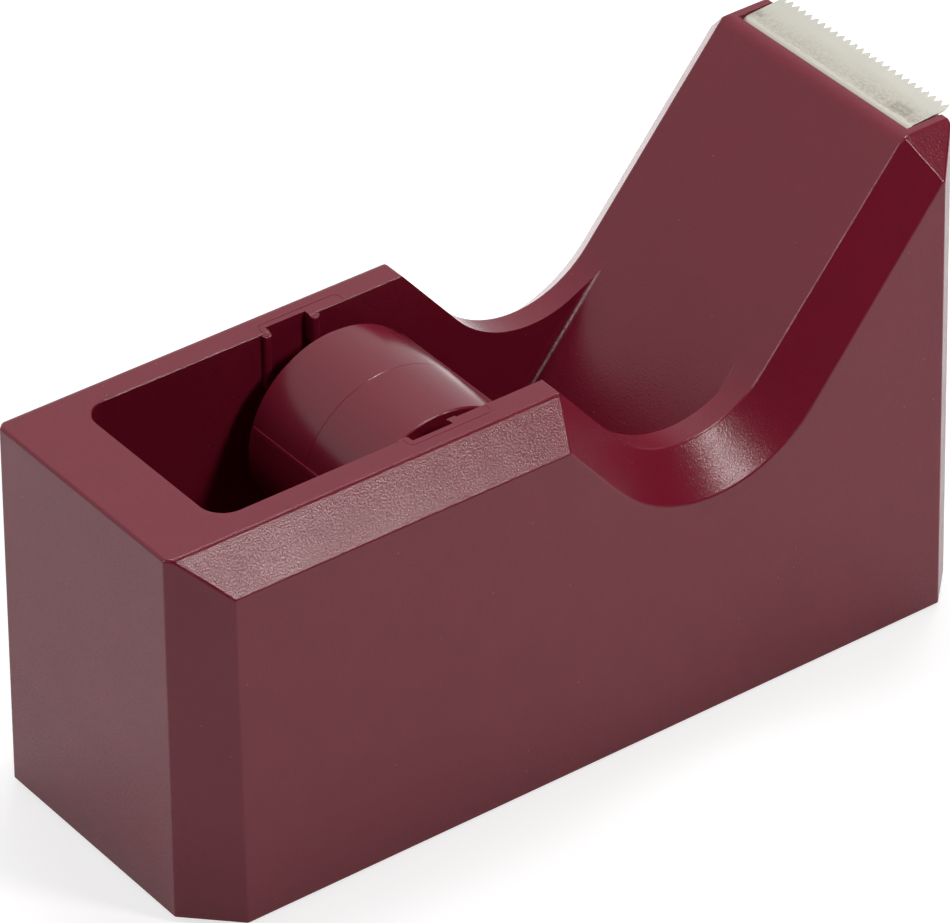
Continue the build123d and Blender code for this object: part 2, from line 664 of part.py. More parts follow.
os.makedirs("parts", exist_ok=True)
export_step(make_housing(), "parts/housing.step")
export_step(make_cutter_blade(), "parts/cutter_blade.step")
export_step(make_hub_near_cup(), "parts/hub_near_cup.step")
export_step(make_hub_far_cup(), "parts/hub_far_cup.step")
export_step(make_hub_axle(), "parts/hub_axle.step")
export_step(make_wedge_weight(), "parts/wedge_weight.step")
export_step(make_weight_foam(), "parts/weight_foam.step")
export_step(make_floor_weight(), "parts/floor_weight.step")
export_step(make_base_cover(), "parts/base_cover.step")
export_step(make_base_screws(), "parts/base_screws.step")
export_step(make_base_pad(), "parts/base_pad.step")
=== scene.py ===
import math
import bmesh
import bpy
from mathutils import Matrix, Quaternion, Vector


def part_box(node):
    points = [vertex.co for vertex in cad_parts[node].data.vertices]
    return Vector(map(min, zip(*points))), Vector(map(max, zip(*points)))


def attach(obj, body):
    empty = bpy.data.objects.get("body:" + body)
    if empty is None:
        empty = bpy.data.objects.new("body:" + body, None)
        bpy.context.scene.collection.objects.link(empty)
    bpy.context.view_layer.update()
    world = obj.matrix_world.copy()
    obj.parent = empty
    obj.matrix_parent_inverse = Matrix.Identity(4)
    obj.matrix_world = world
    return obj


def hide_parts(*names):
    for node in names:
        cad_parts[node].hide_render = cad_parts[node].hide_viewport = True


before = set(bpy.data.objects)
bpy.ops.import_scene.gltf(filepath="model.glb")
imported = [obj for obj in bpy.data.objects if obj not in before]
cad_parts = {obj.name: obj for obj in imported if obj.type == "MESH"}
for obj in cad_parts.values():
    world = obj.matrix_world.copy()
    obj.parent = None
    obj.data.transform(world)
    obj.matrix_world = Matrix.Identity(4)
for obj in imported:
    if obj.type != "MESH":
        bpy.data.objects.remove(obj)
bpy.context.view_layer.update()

# Housing: one burgundy ABS moulding that every other piece goes into.
# Its mould was spark-eroded, which leaves a fine satin grain on every face.
MM = 0.001
BURGUNDY = "7C182E"
DARK_BURGUNDY = "75152B"
CLOUD_MM = 5.0
GRAIN_MM = 0.22
GRAIN_DEPTH_MM = 0.035
DUST = "C4A6A2"
DUST_SPACING_MM = 3.0
DUST_RADIUS_MM = 0.09
DUST_SHARE = 0.3
GLOW_SHARE = 0.35
GLOW_SPREAD = (1.0, 0.12, 0.16)
GLOW_REACH_MM = 1.1
# Most values of a noise pattern lie between these two.
NOISE_LOW = 0.3
NOISE_HIGH = 0.7


def linear(hex_colour):
    """Linear RGBA of an sRGB hex colour."""
    shares = [int(hex_colour[i:i + 2], 16) / 255 for i in (0, 2, 4)]
    return [s / 12.92 if s <= 0.04045 else ((s + 0.055) / 1.055) ** 2.4 for s in shares] + [1.0]


def add(tree, kind, inputs=None, **settings):
    """New node with its settings. An input is a value, a socket, or a node, for its first live output."""
    node = tree.nodes.new(kind)
    for name, value in settings.items():
        setattr(node, name, value)
    for name, value in (inputs or {}).items():
        if isinstance(value, bpy.types.Node):
            value = next(socket for socket in value.outputs if socket.enabled)
        if isinstance(value, bpy.types.NodeSocket):
            tree.links.new(value, node.inputs[name])
        else:
            node.inputs[name].default_value = value
    return node


def per_metre(size_mm):
    """Scale of a pattern whose features are this large."""
    return 1 / (size_mm * MM)


def start_material(name):
    """Empty material, its node tree, and the Object coordinates that its patterns read."""
    made = bpy.data.materials.new(name)
    made.use_nodes = True
    tree = made.node_tree
    tree.nodes.clear()
    return made, tree, add(tree, "ShaderNodeTexCoord").outputs["Object"]


def dusted(tree, place, colour):
    """A colour with dust on it: sparse round specks where points of a 3-D scatter lie on the surface."""
    scatter = add(tree, "ShaderNodeTexVoronoi", {"Vector": place, "Scale": per_metre(DUST_SPACING_MM)})
    radius = DUST_RADIUS_MM / DUST_SPACING_MM
    specks = add(tree, "ShaderNodeMapRange", {
        "Value": scatter, "From Min": radius / 2, "From Max": radius, "To Min": DUST_SHARE, "To Max": 0.0,
    })
    return add(tree, "ShaderNodeMix", {"Factor": specks, "A": colour, "B": linear(DUST)}, data_type="RGBA")


# Satin ABS: soft reflections broken up by grain, and a red glow in thin edges where light passes through.
# The grain is drawn coarser than the real one, so that it shows.
satin_abs, tree, place = start_material("satin_abs")
clouds = add(tree, "ShaderNodeTexNoise", {"Vector": place, "Scale": per_metre(CLOUD_MM)})
plastic = add(tree, "ShaderNodeMix", {
    "Factor": clouds, "A": linear(BURGUNDY), "B": linear(DARK_BURGUNDY),
}, data_type="RGBA")
roughness = add(tree, "ShaderNodeMapRange", {
    "Value": clouds, "From Min": NOISE_LOW, "From Max": NOISE_HIGH, "To Min": 0.23, "To Max": 0.27,
})
pits = add(tree, "ShaderNodeTexNoise", {"Vector": place, "Scale": per_metre(GRAIN_MM), "Detail": 3.0})
grain = add(tree, "ShaderNodeBump", {"Height": pits, "Distance": GRAIN_DEPTH_MM * MM})
shader = add(tree, "ShaderNodeBsdfPrincipled", {
    "Base Color": dusted(tree, place, plastic),
    "Roughness": roughness,
    "IOR": 1.45,
    "Normal": grain,
    "Subsurface Weight": GLOW_SHARE,
    "Subsurface Radius": GLOW_SPREAD,
    "Subsurface Scale": GLOW_REACH_MM * MM,
})
add(tree, "ShaderNodeOutputMaterial", {"Surface": shader})
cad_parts["housing"].material_slots[0].material = satin_abs

# Cutter blade: spring-steel strip, blanked with a row of saw teeth and bent down at the rear.
# Its flange is pressed into the nose, and its top rises a little to the teeth.
BLADE_FLANGE = 4.5 * MM
BLADE_THICKNESS = 0.25 * MM
BLADE_BEND = 1.6 * MM
BLADE_RISE = math.radians(3.5)
KICK_LENGTH = 1.5 * MM
KICK_ANGLE = math.radians(8.0)
TOOTH_PITCH = 1.22 * MM
TOOTH_DEPTH = 0.93 * MM
TOOTH_COUNT = 26
EDGE_BURR = 0.03 * MM
BEND_STEPS = 10
WELD = 0.002 * MM
FACET_ANGLE = math.radians(28)
blade_low, blade_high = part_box("cutter_blade")


def start_shape(name, sizes):
    """Geometry Nodes tree with a named input for each size, and the sockets of its inputs."""
    tree = bpy.data.node_groups.new(name, "GeometryNodeTree")
    tree.interface.new_socket("Geometry", in_out="INPUT", socket_type="NodeSocketGeometry")
    for size, value in sizes.items():
        kind = "NodeSocketInt" if isinstance(value, int) else "NodeSocketFloat"
        tree.interface.new_socket(size, in_out="INPUT", socket_type=kind)
    tree.interface.new_socket("Geometry", in_out="OUTPUT", socket_type="NodeSocketGeometry")
    return tree, add(tree, "NodeGroupInput").outputs


def end_shape(tree, shape, material):
    """The tree's last nodes: plain geometry with its material."""
    solid = add(tree, "GeometryNodeRealizeInstances", {"Geometry": shape})
    painted = add(tree, "GeometryNodeSetMaterial", {"Geometry": solid, "Material": material})
    add(tree, "NodeGroupOutput", {"Geometry": painted})


def new_object(name, data):
    """Object of a mesh, a light or a camera, at the origin."""
    made = bpy.data.objects.new(name, data)
    bpy.context.scene.collection.objects.link(made)
    return made


def shaped(name, mesh, tree, sizes):
    """Piece with the plain mesh that a tree makes from a mesh."""
    piece = new_object(name, mesh)
    modifier = piece.modifiers.new(tree.name, "NODES")
    modifier.node_group = tree
    for socket in tree.interface.items_tree:
        if socket.name in sizes:
            modifier[socket.identifier] = sizes[socket.name]
    evaluated = piece.evaluated_get(bpy.context.evaluated_depsgraph_get())
    made = bpy.data.meshes.new_from_object(evaluated)
    piece.modifiers.remove(modifier)
    piece.data = made
    return piece


def plain_mesh(name, build):
    """Mesh that a function builds in bmesh."""
    work = bmesh.new()
    build(work)
    made = bpy.data.meshes.new(name)
    work.to_mesh(made)
    work.free()
    return made


def blade_line(inset):
    """Side line of the blade from its flange to the kick, on its outside or as deep as the inset."""
    top_z = blade_low.z + BLADE_FLANGE
    turn = math.pi / 2 - BLADE_RISE
    centre_x = blade_low.x + BLADE_BEND
    centre_z = top_z - BLADE_BEND * math.tan(turn / 2)
    kick_x = blade_high.x - KICK_LENGTH
    kick_z = top_z + (kick_x - blade_low.x) * math.tan(BLADE_RISE) - inset / math.cos(BLADE_RISE)
    line = [(blade_low.x + inset, blade_low.z)]
    for step in range(BEND_STEPS + 1):
        angle = math.pi - turn * step / BEND_STEPS
        radius = BLADE_BEND - inset
        line.append((centre_x + radius * math.cos(angle), centre_z + radius * math.sin(angle)))
    return line + [(kick_x, kick_z)]


def one_tooth(work):
    """One tooth with its share of the strip: three side lines, the middle one running out to the tip."""
    rows = []
    for side in (-1, 0, 1):
        end_x = blade_high.x - abs(side) * TOOTH_DEPTH
        row = []
        for inset in (0.0, BLADE_THICKNESS):
            line = blade_line(inset)
            kick_x, kick_z = line[-1]
            line.append((end_x, kick_z + (end_x - kick_x) * math.tan(KICK_ANGLE)))
            row.append([work.verts.new((x, side * TOOTH_PITCH / 2, z)) for x, z in line])
        outside, inside = row
        rows.append(outside + inside[::-1])
    for row, following in zip(rows, rows[1:]):
        for i in range(len(row)):
            j = (i + 1) % len(row)
            work.faces.new((row[i], row[j], following[j], following[i]))


def blade_finish(piece):
    """Closes the strip's two ends, breaks its sharp edges and shades the bend smooth."""
    work = bmesh.new()
    work.from_mesh(piece.data)
    bmesh.ops.holes_fill(work, edges=[e for e in work.edges if e.is_boundary])
    bmesh.ops.recalc_face_normals(work, faces=work.faces)
    sharp = [e for e in work.edges if e.calc_face_angle(0) > FACET_ANGLE]
    bmesh.ops.bevel(work, geom=sharp, offset=EDGE_BURR, segments=1, affect="EDGES", clamp_overlap=True)
    work.to_mesh(piece.data)
    work.free()
    piece.data.shade_smooth()
    piece.data.set_sharp_from_angle(angle=FACET_ANGLE)


# Cold-rolled spring steel: a warm grey sheen with fine rolling lines, drawn coarser than real.
# The bend is painted lighter as a painted highlight, tape has rubbed a brownish band beside it, and a press
# has left a dark mark near each end.
STEEL = "CDCBC0"
BEND_HIGHLIGHT = "E2E0D6"
RUBBED = "A2988A"
STAMPED = "8C8780"
ROLL_LINE_MM = (0.12, 6.0, 0.12)
ROLL_LINE_DEPTH_MM = 0.002
SCRATCH_MM = (0.25, 0.6, 0.3)
# Places where the painted highlight on the bend fades out and the rubbed band fades in and out, behind the
# bend.
BEND_HIGHLIGHT_OUT = (0.2 * MM, 0.7 * MM)
RUB_IN = (0.9 * MM, 1.4 * MM)
RUB_OUT = (2.2 * MM, 5.0 * MM)
# Along the blade the rubbed band weakens between these places, and keeps this share from there on.
RUB_WEAKENS = (-12.0 * MM, -2.0 * MM)
FAR_RUB = 0.6
# A press mark's place behind the bend and along the blade, and its half width and half length.
NEAR_STAMP = (2.4 * MM, -12.0 * MM, 0.55 * MM, 1.3 * MM)
FAR_STAMP = (2.5 * MM, 14.9 * MM, 0.15 * MM, 0.4 * MM)
STAMP_LINE = 0.4 * MM
STAMP_FILL = 0.55


def streaks(tree, place, size_mm):
    """Noise pattern drawn out to a different real size along each axis."""
    drawn = add(tree, "ShaderNodeMapping", {"Vector": place, "Scale": [per_metre(s) for s in size_mm]})
    return add(tree, "ShaderNodeTexNoise", {"Vector": drawn, "Scale": 1.0})


def stamp_mark(tree, behind_bend, along_blade, stamp):
    """Share of a press mark, which is darkest along its blurred outline."""
    x, y, half_width, half_length = stamp
    past_sides = []
    for place, middle, half in ((behind_bend, x, half_width), (along_blade, y, half_length)):
        offset = add(tree, "ShaderNodeMath", {0: place, 1: middle}, operation="SUBTRACT")
        distance = add(tree, "ShaderNodeMath", {0: offset}, operation="ABSOLUTE")
        past_sides.append(add(tree, "ShaderNodeMath", {0: distance, 1: half}, operation="SUBTRACT"))
    past_edge = add(tree, "ShaderNodeMath", {0: past_sides[0], 1: past_sides[1]}, operation="MAXIMUM")
    inside = add(tree, "ShaderNodeMapRange", {
        "Value": past_edge, "From Min": -STAMP_LINE, "From Max": 0.0, "To Min": STAMP_FILL, "To Max": 1.0,
    })
    outside = add(tree, "ShaderNodeMapRange", {
        "Value": past_edge, "From Min": 0.0, "From Max": STAMP_LINE, "To Min": 1.0, "To Max": 0.0,
    })
    return add(tree, "ShaderNodeMath", {0: inside, 1: outside}, operation="MINIMUM")


spring_steel, tree, place = start_material("spring_steel")
spot = add(tree, "ShaderNodeSeparateXYZ", {0: place}).outputs
behind_bend = add(tree, "ShaderNodeMath", {0: spot["X"], 1: blade_low.x}, operation="SUBTRACT")
lines = streaks(tree, place, ROLL_LINE_MM)
scratches = streaks(tree, place, SCRATCH_MM)
# Painted highlight: a lighter band is painted over the bend, in place of the bend's highlight.
bend_highlight = add(tree, "ShaderNodeMapRange", {
    "Value": behind_bend,
    "From Min": BEND_HIGHLIGHT_OUT[0],
    "From Max": BEND_HIGHLIGHT_OUT[1],
    "To Min": 1.0,
    "To Max": 0.0,
})
rub_in = add(tree, "ShaderNodeMapRange", {
    "Value": behind_bend, "From Min": RUB_IN[0], "From Max": RUB_IN[1], "To Min": 0.0, "To Max": 1.0,
})
rub_out = add(tree, "ShaderNodeMapRange", {
    "Value": behind_bend, "From Min": RUB_OUT[0], "From Max": RUB_OUT[1], "To Min": 1.0, "To Max": 0.0,
})
rub_along = add(tree, "ShaderNodeMapRange", {
    "Value": spot["Y"],
    "From Min": RUB_WEAKENS[0],
    "From Max": RUB_WEAKENS[1],
    "To Min": 1.0,
    "To Max": FAR_RUB,
})
rub = add(tree, "ShaderNodeMapRange", {
    "Value": scratches, "From Min": 0.34, "From Max": 0.66, "To Min": 0.2, "To Max": 0.9,
})
for fade in (rub_in, rub_out, rub_along):
    rub = add(tree, "ShaderNodeMath", {0: rub, 1: fade}, operation="MULTIPLY")
near_mark = stamp_mark(tree, behind_bend, spot["Y"], NEAR_STAMP)
far_mark = stamp_mark(tree, behind_bend, spot["Y"], FAR_STAMP)
marks = add(tree, "ShaderNodeMath", {0: near_mark, 1: far_mark}, operation="MAXIMUM")
streaked = add(tree, "ShaderNodeMapRange", {
    "Value": lines, "From Min": 0.35, "From Max": 0.65, "To Min": 0.2, "To Max": 0.8,
})
stamped = add(tree, "ShaderNodeMath", {0: marks, 1: streaked}, operation="MULTIPLY")
metal = linear(STEEL)
for share, colour in ((bend_highlight, BEND_HIGHLIGHT), (rub, RUBBED), (stamped, STAMPED)):
    metal = add(tree, "ShaderNodeMix", {"Factor": share, "A": metal, "B": linear(colour)}, data_type="RGBA")
roughness = add(tree, "ShaderNodeMapRange", {
    "Value": lines, "From Min": NOISE_LOW, "From Max": NOISE_HIGH, "To Min": 0.32, "To Max": 0.46,
})
relief = add(tree, "ShaderNodeBump", {"Height": lines, "Distance": ROLL_LINE_DEPTH_MM * MM})
shader = add(tree, "ShaderNodeBsdfPrincipled", {
    "Base Color": metal, "Metallic": 1.0, "Roughness": roughness, "Normal": relief,
})
add(tree, "ShaderNodeOutputMaterial", {"Surface": shader})

sizes = {"Teeth": TOOTH_COUNT, "Pitch": TOOTH_PITCH, "Near end": blade_low.y, "Far end": blade_high.y}
tree, size = start_shape("saw_teeth", sizes)
gaps = add(tree, "ShaderNodeMath", {0: size["Teeth"], 1: 1.0}, operation="SUBTRACT")
row = add(tree, "ShaderNodeMath", {0: gaps, 1: size["Pitch"]}, operation="MULTIPLY")
ends = add(tree, "ShaderNodeMath", {0: size["Near end"], 1: size["Far end"]}, operation="ADD")
twice_first = add(tree, "ShaderNodeMath", {0: ends, 1: row}, operation="SUBTRACT")
first_y = add(tree, "ShaderNodeMath", {0: twice_first, 1: 0.5}, operation="MULTIPLY")
places = add(tree, "GeometryNodeMeshLine", {
    "Count": size["Teeth"],
    "Start Location": add(tree, "ShaderNodeCombineXYZ", {"Y": first_y}),
    "Offset": add(tree, "ShaderNodeCombineXYZ", {"Y": size["Pitch"]}),
})
teeth = add(tree, "GeometryNodeInstanceOnPoints", {"Points": places, "Instance": size["Geometry"]})
strip = add(tree, "GeometryNodeRealizeInstances", {"Geometry": teeth})
strip = add(tree, "GeometryNodeMergeByDistance", {"Geometry": strip, "Distance": WELD})
spot = add(tree, "ShaderNodeSeparateXYZ", {0: add(tree, "GeometryNodeInputPosition")}).outputs
cut_y = add(tree, "ShaderNodeMath", {0: spot["Y"], 1: size["Near end"]}, operation="MAXIMUM")
cut_y = add(tree, "ShaderNodeMath", {0: cut_y, 1: size["Far end"]}, operation="MINIMUM")
cut = add(tree, "ShaderNodeCombineXYZ", {"X": spot["X"], "Y": cut_y, "Z": spot["Z"]})
strip = add(tree, "GeometryNodeSetPosition", {"Geometry": strip, "Position": cut})
end_shape(tree, strip, spring_steel)
blade = shaped("saw_blade", plain_mesh("tooth", one_tooth), tree, sizes)
blade_finish(blade)
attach(blade, "base")
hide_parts("cutter_blade")

# Ballast: a sand-cast iron wedge under the ramp and a sawn steel plate under the tape bay.
# Both stand loose in low fences on the base cover, and make the dispenser heavy enough for one hand
# to tear tape from it.
CAST_IRON = "4A4A4C"
CAST_DARK = "3A3A3C"
SAND_MM = 0.6
SAND_DEPTH_MM = 0.12
MILL_SCALE = "5B6069"
MILL_SCALE_DARK = "4B4A4E"
SCALE_PATCH_MM = 7.0

# Sand-cast iron: dull and grey, pitted by the grains of the mould.
cast_iron, tree, place = start_material("cast_iron")
sand = add(tree, "ShaderNodeTexNoise", {"Vector": place, "Scale": per_metre(SAND_MM), "Detail": 4.0})
iron = add(tree, "ShaderNodeMix", {
    "Factor": sand, "A": linear(CAST_DARK), "B": linear(CAST_IRON),
}, data_type="RGBA")
roughness = add(tree, "ShaderNodeMapRange", {"Value": sand, "To Min": 0.55, "To Max": 0.75})
pits = add(tree, "ShaderNodeBump", {"Height": sand, "Distance": SAND_DEPTH_MM * MM})
shader = add(tree, "ShaderNodeBsdfPrincipled", {
    "Base Color": iron, "Metallic": 0.6, "Roughness": roughness, "Normal": pits,
})
add(tree, "ShaderNodeOutputMaterial", {"Surface": shader})
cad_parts["wedge_weight"].material_slots[0].material = cast_iron

# Hot-rolled steel: blue-grey mill scale in patches, smoother than a casting.
rolled_steel, tree, place = start_material("hot_rolled_steel")
patches = add(tree, "ShaderNodeTexNoise", {
    "Vector": place, "Scale": per_metre(SCALE_PATCH_MM), "Detail": 6.0,
})
dark_share = add(tree, "ShaderNodeMapRange", {"Value": patches, "From Min": 0.35, "From Max": 0.65})
scale = add(tree, "ShaderNodeMix", {
    "Factor": dark_share, "A": linear(MILL_SCALE), "B": linear(MILL_SCALE_DARK),
}, data_type="RGBA")
roughness = add(tree, "ShaderNodeMapRange", {"Value": patches, "To Min": 0.38, "To Max": 0.58})
shader = add(tree, "ShaderNodeBsdfPrincipled", {
    "Base Color": scale, "Metallic": 0.85, "Roughness": roughness,
})
add(tree, "ShaderNodeOutputMaterial", {"Surface": shader})
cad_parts["floor_weight"].material_slots[0].material = rolled_steel

# Weight foam: a strip of open-cell foam, squeezed between the wedge and the ramp so that the wedge
# can't rattle. It is cut from sheet, so its faces are flat and its cut edges soft.
FOAM_EDGE = 0.5 * MM
EDGE_STEPS = 4
ROUND_PROFILE = 0.5
FLAT = math.radians(1)
FOAM_GREY = "6B6B6E"
# Colour painted in the cell mouths, as painted shade inside the pores.
FOAM_PORE_SHADE = "4C4C50"
OPEN_CELL_MM = 0.8
CELL_DEPTH_SHARE = 0.25


def soft_copy(node, edge):
    """Mesh of a foam solid with its flat faces in one piece and its cut edges rounded."""
    work = bmesh.new()
    work.from_mesh(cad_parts[node].data)
    bmesh.ops.remove_doubles(work, verts=work.verts, dist=WELD)
    bmesh.ops.dissolve_limit(work, angle_limit=FLAT, verts=work.verts, edges=work.edges)
    rounding = {"offset": edge, "segments": EDGE_STEPS, "profile": ROUND_PROFILE, "affect": "EDGES"}
    bmesh.ops.bevel(work, geom=work.edges[:], **rounding)
    made = bpy.data.meshes.new(node)
    work.to_mesh(made)
    work.free()
    return made


def cell_foam(name, light, pore_shade, cell_mm, roughness):
    """Foam material: cell mouths painted dark as painted shade in the pores, in a dull skin."""
    made, tree, place = start_material(name)
    cells = add(tree, "ShaderNodeTexVoronoi", {"Vector": place, "Scale": per_metre(cell_mm)})
    # Painted shade: the cell mouths are painted darker for the shade inside the pores.
    skin_share = add(tree, "ShaderNodeMapRange", {"Value": cells, "From Min": 0.1, "From Max": 0.5})
    skin = add(tree, "ShaderNodeMix", {
        "Factor": skin_share, "A": linear(pore_shade), "B": linear(light),
    }, data_type="RGBA")
    mouths = add(tree, "ShaderNodeBump", {"Height": cells, "Distance": cell_mm * MM * CELL_DEPTH_SHARE})
    shader = add(tree, "ShaderNodeBsdfPrincipled", {
        "Base Color": skin, "Roughness": roughness, "IOR": 1.4, "Normal": mouths,
    })
    add(tree, "ShaderNodeOutputMaterial", {"Surface": shader})
    return made


# Open-cell polyurethane: grey, wide pores and no shine.
open_foam = cell_foam("open_cell_foam", FOAM_GREY, FOAM_PORE_SHADE, OPEN_CELL_MM, roughness=0.95)
foam_strip = new_object("weight_foam_strip", soft_copy("weight_foam", FOAM_EDGE))
foam_strip.data.materials.append(open_foam)
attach(foam_strip, "base")
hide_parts("weight_foam")

# Base cover: a flat black ABS plate that closes the housing from below and carries the weights.
# It is moulded, sits inside the rim, and hangs on four screws.
COVER_BLACK = "1E1D1F"
COVER_GREY = "2A292B"
COVER_GRAIN_MM = 0.45
COVER_GRAIN_DEPTH_MM = 0.03

# Black ABS: dull and even, with a coarser grain than the housing.
black_abs, tree, place = start_material("black_abs")
pits = add(tree, "ShaderNodeTexNoise", {"Vector": place, "Scale": per_metre(COVER_GRAIN_MM)})
plastic = add(tree, "ShaderNodeMix", {
    "Factor": pits, "A": linear(COVER_BLACK), "B": linear(COVER_GREY),
}, data_type="RGBA")
grain = add(tree, "ShaderNodeBump", {"Height": pits, "Distance": COVER_GRAIN_DEPTH_MM * MM})
shader = add(tree, "ShaderNodeBsdfPrincipled", {
    "Base Color": plastic, "Roughness": 0.48, "IOR": 1.53, "Normal": grain,
})
add(tree, "ShaderNodeOutputMaterial", {"Surface": shader})
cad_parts["base_cover"].material_slots[0].material = black_abs

# Base screws: four zinc-plated steel screws with a countersunk head and a cross recess.
# Each is driven up through the cover into a boss, where its rolled thread cuts its own way.
SCREW_LENGTH = 9.0 * MM
SCREW_RADIUS = 1.3 * MM
SCREW_CORE = 0.95 * MM
SCREW_HEAD_RADIUS = 2.5 * MM
SCREW_PITCH = 1.0 * MM
CREST_SHARE = 0.5
POINT_SHARE = 0.25
SCREW_SIDES = 32
TURN_STEPS = 8
CROSS_REACH = 1.4 * MM
CROSS_HALF_WIDTH = 0.3 * MM
CROSS_DEPTH = 0.8 * MM
CROSS_TAPER = 0.75
REAR_SPREAD = 24.0 * MM
FRONT_SPREAD = 28.0 * MM
screws_low, screws_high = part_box("base_screws")


def loop_faces(work, lower, upper):
    """Quads between two closed rings of vertices."""
    for i in range(len(lower)):
        j = (i + 1) % len(lower)
        work.faces.new((lower[i], lower[j], upper[j], upper[i]))


def ring(work, radii, z):
    """Ring of vertices at one height, with a radius for each."""
    made = []
    for side, radius in enumerate(radii):
        angle = 2 * math.pi * side / SCREW_SIDES
        made.append(work.verts.new((radius * math.cos(angle), radius * math.sin(angle), z)))
    return made


def cross(work, scale, z):
    """The twelve corners of the cross recess."""
    reach, half = CROSS_REACH * scale, CROSS_HALF_WIDTH * scale
    arm = [(half, -half), (reach, -half), (reach, half)]
    corners = []
    for quarter in range(4):
        turn = math.pi / 2 * quarter
        cos_turn, sin_turn = math.cos(turn), math.sin(turn)
        for x, y in arm:
            corners.append((x * cos_turn - y * sin_turn, x * sin_turn + y * cos_turn))
    return [work.verts.new((x, y, z)) for x, y in corners]


def thread_radius(side, z):
    """Radius of the threaded shank: a crest that winds up the core, and a taper to the point."""
    phase = (z / SCREW_PITCH - side / SCREW_SIDES) % 1.0
    crest = max(0.0, 1.0 - abs(phase - 0.5) * 2 / CREST_SHARE)
    taper = max(POINT_SHARE, min(1.0, (SCREW_LENGTH - z) / SCREW_RADIUS))
    return (SCREW_CORE + (SCREW_RADIUS - SCREW_CORE) * crest) * taper


def one_screw(work):
    """Screw with its head down: cross recess, head cone, helical thread and point."""
    face = ring(work, [SCREW_HEAD_RADIUS] * SCREW_SIDES, 0.0)
    mouth = cross(work, 1.0, 0.0)
    edges = [work.edges.new((loop[i - 1], loop[i])) for loop in (face, mouth) for i in range(len(loop))]
    bmesh.ops.triangle_fill(work, edges=edges, use_beauty=True)
    pit = cross(work, CROSS_TAPER, CROSS_DEPTH)
    loop_faces(work, mouth, pit)
    work.faces.new(pit)
    head_depth = SCREW_HEAD_RADIUS - SCREW_RADIUS
    lower = ring(work, [SCREW_RADIUS] * SCREW_SIDES, head_depth)
    loop_faces(work, face, lower)
    step_count = int((SCREW_LENGTH - head_depth) / SCREW_PITCH * TURN_STEPS)
    for step in range(1, step_count + 1):
        z = head_depth + step * SCREW_PITCH / TURN_STEPS
        upper = ring(work, [thread_radius(side, z) for side in range(SCREW_SIDES)], z)
        loop_faces(work, lower, upper)
        lower = upper
    work.faces.new(lower)
    bmesh.ops.recalc_face_normals(work, faces=work.faces)


# Zinc plate: bright blue-grey with faint clouds.
ZINC = "BFC3C8"
ZINC_CLOUD = "A5A9AE"
ZINC_CLOUD_MM = 1.5
zinc_plate, tree, place = start_material("zinc_plate")
clouds = add(tree, "ShaderNodeTexNoise", {"Vector": place, "Scale": per_metre(ZINC_CLOUD_MM)})
zinc = add(tree, "ShaderNodeMix", {
    "Factor": clouds, "A": linear(ZINC), "B": linear(ZINC_CLOUD),
}, data_type="RGBA")
roughness = add(tree, "ShaderNodeMapRange", {"Value": clouds, "To Min": 0.25, "To Max": 0.4})
shader = add(tree, "ShaderNodeBsdfPrincipled", {
    "Base Color": zinc, "Metallic": 1.0, "Roughness": roughness,
})
add(tree, "ShaderNodeOutputMaterial", {"Surface": shader})

sizes = {
    "Rear X": screws_low.x + SCREW_HEAD_RADIUS,
    "Front X": screws_high.x - SCREW_HEAD_RADIUS,
    "Rear spread": REAR_SPREAD,
    "Front spread": FRONT_SPREAD,
    "Head height": screws_low.z,
}
tree, size = start_shape("screw_places", sizes)
pairs = add(tree, "GeometryNodeJoinGeometry")
for end in ("Rear", "Front"):
    near_y = add(tree, "ShaderNodeMath", {0: size[end + " spread"], 1: -0.5}, operation="MULTIPLY")
    near_place = {"X": size[end + " X"], "Y": near_y, "Z": size["Head height"]}
    pair = add(tree, "GeometryNodeMeshLine", {
        "Count": 2,
        "Start Location": add(tree, "ShaderNodeCombineXYZ", near_place),
        "Offset": add(tree, "ShaderNodeCombineXYZ", {"Y": size[end + " spread"]}),
    })
    tree.links.new(pair.outputs["Mesh"], pairs.inputs["Geometry"])
copies = add(tree, "GeometryNodeInstanceOnPoints", {"Points": pairs, "Instance": size["Geometry"]})
end_shape(tree, copies, zinc_plate)
screws = shaped("cover_screws", plain_mesh("screw", one_screw), tree, sizes)
screws.data.shade_smooth()
screws.data.set_sharp_from_angle(angle=FACET_ANGLE)
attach(screws, "base")
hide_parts("base_screws")

# Base pad: a sheet of soft black EVA foam, die-cut to the base and glued over the cover and its screws.
# It stands a little below the rim, so the dispenser rests and grips on foam alone.
PAD_EDGE = 0.3 * MM
PAD_BLACK = "232224"
# Colour painted in the pore mouths, as painted shade inside the pores.
PAD_PORE_SHADE = "151416"
CLOSED_CELL_MM = 0.5

# Closed-cell EVA: fine pores, dull and nearly black.
eva_foam = cell_foam("closed_cell_foam", PAD_BLACK, PAD_PORE_SHADE, CLOSED_CELL_MM, roughness=0.85)
pad = new_object("foam_pad", soft_copy("base_pad", PAD_EDGE))
pad.data.materials.append(eva_foam)
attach(pad, "base")
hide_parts("base_pad")

# Hub axle: a turned steel pin with a collar in its middle, caught between the two halves of the hub.
# Its ends drop into the slots in the bay's walls, and the hub turns on it.
AXLE_STEEL = "BDBDBB"
TURNING_MARK_MM = 0.15
TURNING_DEPTH_MM = 0.004
# At a scale of 1, one band of a wave pattern is this long.
WAVE_BAND = math.pi / 10

